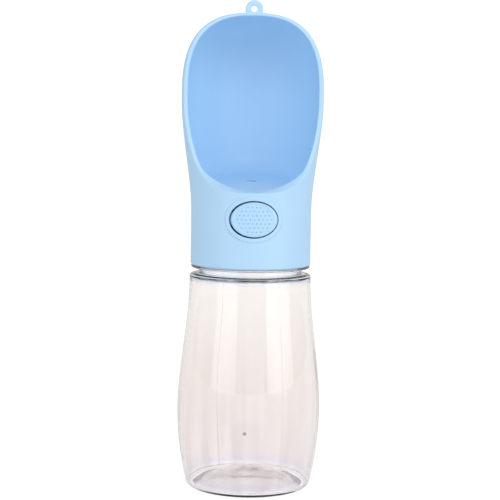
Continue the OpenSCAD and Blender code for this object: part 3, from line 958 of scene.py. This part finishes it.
def oval_ring(rx, rz, r=None, sink=0.0, y=None):
    """An oval ring about the button's centre, flat at y or on an upright cylinder."""
    x = rx * np.cos(button_turns)
    depth = y + 0 * x if r is None else sink - np.sqrt(r * r - x * x)
    return np.stack([x, depth, button_z + rz * np.sin(button_turns)], axis=1)


def between(first, last, count):
    """Rings that run evenly from one ring to another, after the first."""
    return [first + (last - first) * t for t in np.linspace(0, 1, count + 1)[1:]]


# Rings run from the middle of the pad out over the face and its rounded edge, back along
# the skirt, up inside it, and then down and up the socket
half_w, half_h = button_w / 2, button_h / 2
inner_w, inner_h = half_w - button_wall, half_h - button_wall
pad_r = button_r - pad_depth
face_in = button_r - button_t
rings = [oval_ring(pad_w / 2 * t, pad_h / 2 * t, pad_r) for t in np.linspace(0, 0.98, 64)]
for s in np.linspace(0, 1, 6):
    grow = pad_edge * (2 * s - 1)
    rings.append(oval_ring(pad_w / 2 + grow, pad_h / 2 + grow, pad_r + pad_depth * float(ease(s))))
rings += between(rings[-1], oval_ring(half_w - button_edge, half_h - button_edge, button_r), 4)
for turn in np.radians(np.linspace(0, 90, 7))[1:]:
    grow = button_edge * (math.sin(turn) - 1)
    sink = button_edge * (1 - math.cos(turn))
    rings.append(oval_ring(half_w + grow, half_h + grow, button_r, sink))
rings += between(rings[-1], oval_ring(half_w, half_h, y=skirt_y), 8)
rings += between(rings[-1], oval_ring(inner_w, inner_h, y=skirt_y), 2)
rings += between(rings[-1], oval_ring(inner_w, inner_h, face_in), 8)
rings += between(rings[-1], oval_ring(socket_rim, socket_rim, face_in), 8)
rings += between(rings[-1], oval_ring(socket_rim, socket_rim, y=stop_y), 6)
rings += between(rings[-1], oval_ring(socket_r, socket_r, y=stop_y), 2)
rings += between(rings[-1], oval_ring(socket_r, socket_r, y=socket_y), 6)
rings += between(rings[-1], oval_ring(0, 0, y=socket_y), 3)
bm = net(rings)
# The pits of the grip pad lie in rows that are set half a pitch apart
pits = [
    ((i - (count - 1) / 2) * pit_pitch, button_z + (row - 3) * pit_row_pitch)
    for row, count in enumerate(pit_rows)
    for i in range(count)
]
for v in bm.verts:
    if v.co.y < socket_y - 1:
        near = min(math.hypot(v.co.x - x, v.co.z - z) for x, z in pits)
        v.co.y += pit_depth * float(ease((pit_r - near) / pit_r * pit_steepness))
# The face and skirt lie a little to the right in the window, as far as the tabs let them
for v in bm.verts:
    from_middle = math.hypot(v.co.x, v.co.z - button_z)
    if v.co.y < -face_in - 0.05 or from_middle > socket_rim + 0.5:
        v.co.x += play
for side in (-1, 1):
    place = Matrix.Translation((side * tab_x, tab_y, button_z)) @ Matrix.Diagonal((*tab_size, 1))
    tab = bmesh.ops.create_cube(bm, size=1, matrix=place)["verts"]
    bmesh.ops.bevel(
        bm,
        geom=list({e for v in tab for e in v.link_edges}),
        offset=tab_round,
        segments=2,
        profile=0.5,
        affect="EDGES",
        material=-1,
    )
to_metres(bm)
button = make_piece("button_moulding", bm, blue_abs, 45)
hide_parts("push_button")
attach(button, "button")


# Screw cap. White polypropylene, snapped into the collar behind a bead, with the seal
# ring under its ceiling. Its thread, which runs on the bottle's neck, is made here.
def uneven_finish(name, size, detail, gloss, bump, relief, shades=None, **inputs):
    """A material whose gloss, relief and shade all vary by one noise of this size."""
    material, shader = start_material(name, **inputs)
    place = add_node(material, "TexCoord").outputs["Object"]
    marks = add_node(material, "TexNoise", {"Vector": place, "Scale": 1 / size, "Detail": detail})
    marks = marks.outputs["Fac"]
    sheen = add_node(material, "MapRange", {"Value": marks, "To Min": gloss[0], "To Max": gloss[1]})
    link(material, sheen.outputs["Result"], shader, "Roughness")
    lift = add_node(material, "Bump", {"Height": marks, "Strength": bump, "Distance": relief})
    link(material, lift.outputs["Normal"], shader, "Normal")
    if shades:
        low, high = map(colour, shades)
        tone = add_node(material, "Mix", {"Factor": marks, "A": low, "B": high}, data_type="RGBA")
        link(material, tone.outputs["Result"], shader, "Base Color")
    return material


def set_material(material, *nodes):
    """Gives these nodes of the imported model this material."""
    for name in nodes:
        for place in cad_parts[name].material_slots:
            place.material = material


cap_bore_r = 28.2
cap_thread_z = 121.45
cap_thread_crest = 27.1
cap_thread_tip = 0.9
cap_thread_root = 1.9
cap_thread_sink = 0.1
cap_thread_turns = 1.2
cap_thread_fade = 0.1
cap_steps = 96
pitch = thread_pitch / mm
section = (
    (cap_bore_r + cap_thread_sink, -cap_thread_root / 2),
    (cap_thread_crest, -cap_thread_tip / 2),
    (cap_thread_crest, cap_thread_tip / 2),
    (cap_bore_r + cap_thread_sink, cap_thread_root / 2),
)
bm = bmesh.new()
row = [bm.verts.new((r, 0, cap_thread_z + z)) for r, z in section]
edges = [bm.edges.new(pair) for pair in zip(row, row[1:] + row[:1])]
steps = round(cap_steps * cap_thread_turns)
bmesh.ops.spin(
    bm,
    geom=row + edges,
    cent=(0, 0, 0),
    axis=(0, 0, 1),
    angle=2 * math.pi * cap_thread_turns,
    steps=steps,
    dvec=(0, 0, pitch * cap_thread_turns / steps),
)
bmesh.ops.holes_fill(bm, edges=[e for e in bm.edges if e.is_boundary])
# Both ends of the thread run out into the bore
for v in bm.verts:
    part = math.atan2(v.co.y, v.co.x) / (2 * math.pi) % 1
    run = part + round((v.co.z - cap_thread_z) / pitch - part)
    full = float(ease(run / cap_thread_fade) * ease((cap_thread_turns - run) / cap_thread_fade))
    radius = math.hypot(v.co.x, v.co.y)
    v.co.xy = v.co.xy * ((cap_bore_r + (radius - cap_bore_r) * full) / radius)
to_metres(bm)
# Moulded polypropylene: milky white and a little waxy, with faint flow marks
white_pp = uneven_finish(
    "moulded_polypropylene",
    size=11 * mm,
    detail=3,
    gloss=(0.32, 0.45),
    bump=0.15,
    relief=0.1 * mm,
    shades=("#E9EAE8", "#F3F4F2"),
    Roughness=0.38,
    Specular_IOR_Level=0.5,
)
cap_thread = make_piece("cap_thread", bm, white_pp, 45)
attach(cap_thread, "head")
set_material(white_pp, "inner_cap")


# Return spring. Wound from 0.8 mm stainless wire with its end turns closed: it pushes
# the spindle's head forwards against the seat.
wire_d = 0.8
wire_sides = 16
coil_r = 4.4
coil_front = 7.8
coil_back = 17.8
coil_turns = 4.5
coil_steps = 40
closed_pitch = 1.1 * wire_d
open_pitch = (coil_back - coil_front - wire_d - 2 * closed_pitch) / (coil_turns - 2)
bm = bmesh.new()
place = Matrix.Translation((coil_r, coil_front + wire_d / 2, button_z))
circle = bmesh.ops.create_circle(
    bm, cap_ends=False, segments=wire_sides, radius=wire_d / 2, matrix=place
)["verts"]
wire = circle + list({e for v in circle for e in v.link_edges})
for turns, pitch in ((1, closed_pitch), (coil_turns - 2, open_pitch), (1, closed_pitch)):
    steps = round(coil_steps * turns)
    wire = bmesh.ops.spin(
        bm,
        geom=wire,
        cent=(0, 0, button_z),
        axis=(0, -1, 0),
        angle=2 * math.pi * turns,
        steps=steps,
        dvec=(0, pitch * turns / steps, 0),
    )["geom_last"]
bmesh.ops.holes_fill(bm, edges=[e for e in bm.edges if e.is_boundary])
to_metres(bm)
# Drawn stainless wire: bright, with fine marks from the die, drawn at 0.7 mm, coarser
# than the real ones, so that they show
spring_steel = uneven_finish(
    "drawn_stainless_wire",
    size=0.67 * mm,
    detail=2,
    gloss=(0.18, 0.34),
    bump=0.2,
    relief=0.03 * mm,
    Base_Color=colour("#C9C8C5"),
    Metallic=1.0,
    Roughness=0.24,
)
spring = make_piece("spring_coil", bm, spring_steel, 60)
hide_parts("return_spring")
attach(spring, "head")
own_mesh(spring)


# Valve mouldings. The block with its barrel and tower, the gland ring, the end plug and
# the spindle are moulded from acetal: ivory white, sharp edged and half matt, with faint
# flow marks. Screws hold the block, and the other three sit in its barrel.
acetal = uneven_finish(
    "moulded_acetal",
    size=8.3 * mm,
    detail=3,
    gloss=(0.3, 0.42),
    bump=0.12,
    relief=0.1 * mm,
    shades=("#EAE9E3", "#F3F2ED"),
    Roughness=0.36,
    Specular_IOR_Level=0.5,
)
set_material(acetal, "valve_block", "gland_ring", "end_plug", "valve_spindle")


# Seals. The ring under the cap's ceiling, the two flat seals of the valve block and the
# washer on the spindle are cut or moulded from silicone rubber: white, dull and a little
# cloudy, with light that sinks in at the edges.
silicone = uneven_finish(
    "white_silicone_rubber",
    size=6.7 * mm,
    detail=2,
    gloss=(0.48, 0.62),
    bump=0.15,
    relief=0.05 * mm,
    shades=("#E6E8E8", "#F0F1F1"),
    Roughness=0.55,
    Subsurface_Weight=0.15,
    Subsurface_Scale=1 * mm,
)
set_material(silicone, "bottle_gasket", "inlet_seal", "outlet_seal", "valve_washer")


# O-rings. One seals the spindle in its gland and one seals the end plug. They are
# moulded from black nitrile rubber, dull and greyed in small patches by a faint bloom.
nitrile = uneven_finish(
    "black_nitrile_rubber",
    size=2.5 * mm,
    detail=3,
    gloss=(0.42, 0.6),
    bump=0.2,
    relief=0.04 * mm,
    shades=("#1B1B1C", "#2C2C2E"),
    Roughness=0.5,
    Specular_IOR_Level=0.4,
)
set_material(nitrile, "gland_o_ring", "plug_o_ring")


# Screws. Four stainless screws with a cross slot hold the valve block up to the pillars
# under the trough's floor. Their turned steel is bright, with fine tool marks, drawn at
# 0.8 mm, coarser than the real ones, so that they show.
turned_steel = uneven_finish(
    "turned_stainless_steel",
    size=0.83 * mm,
    detail=2,
    gloss=(0.22, 0.38),
    bump=0.2,
    relief=0.03 * mm,
    Base_Color=colour("#C4C3C0"),
    Metallic=1.0,
    Roughness=0.28,
)
set_material(turned_steel, "block_screws")
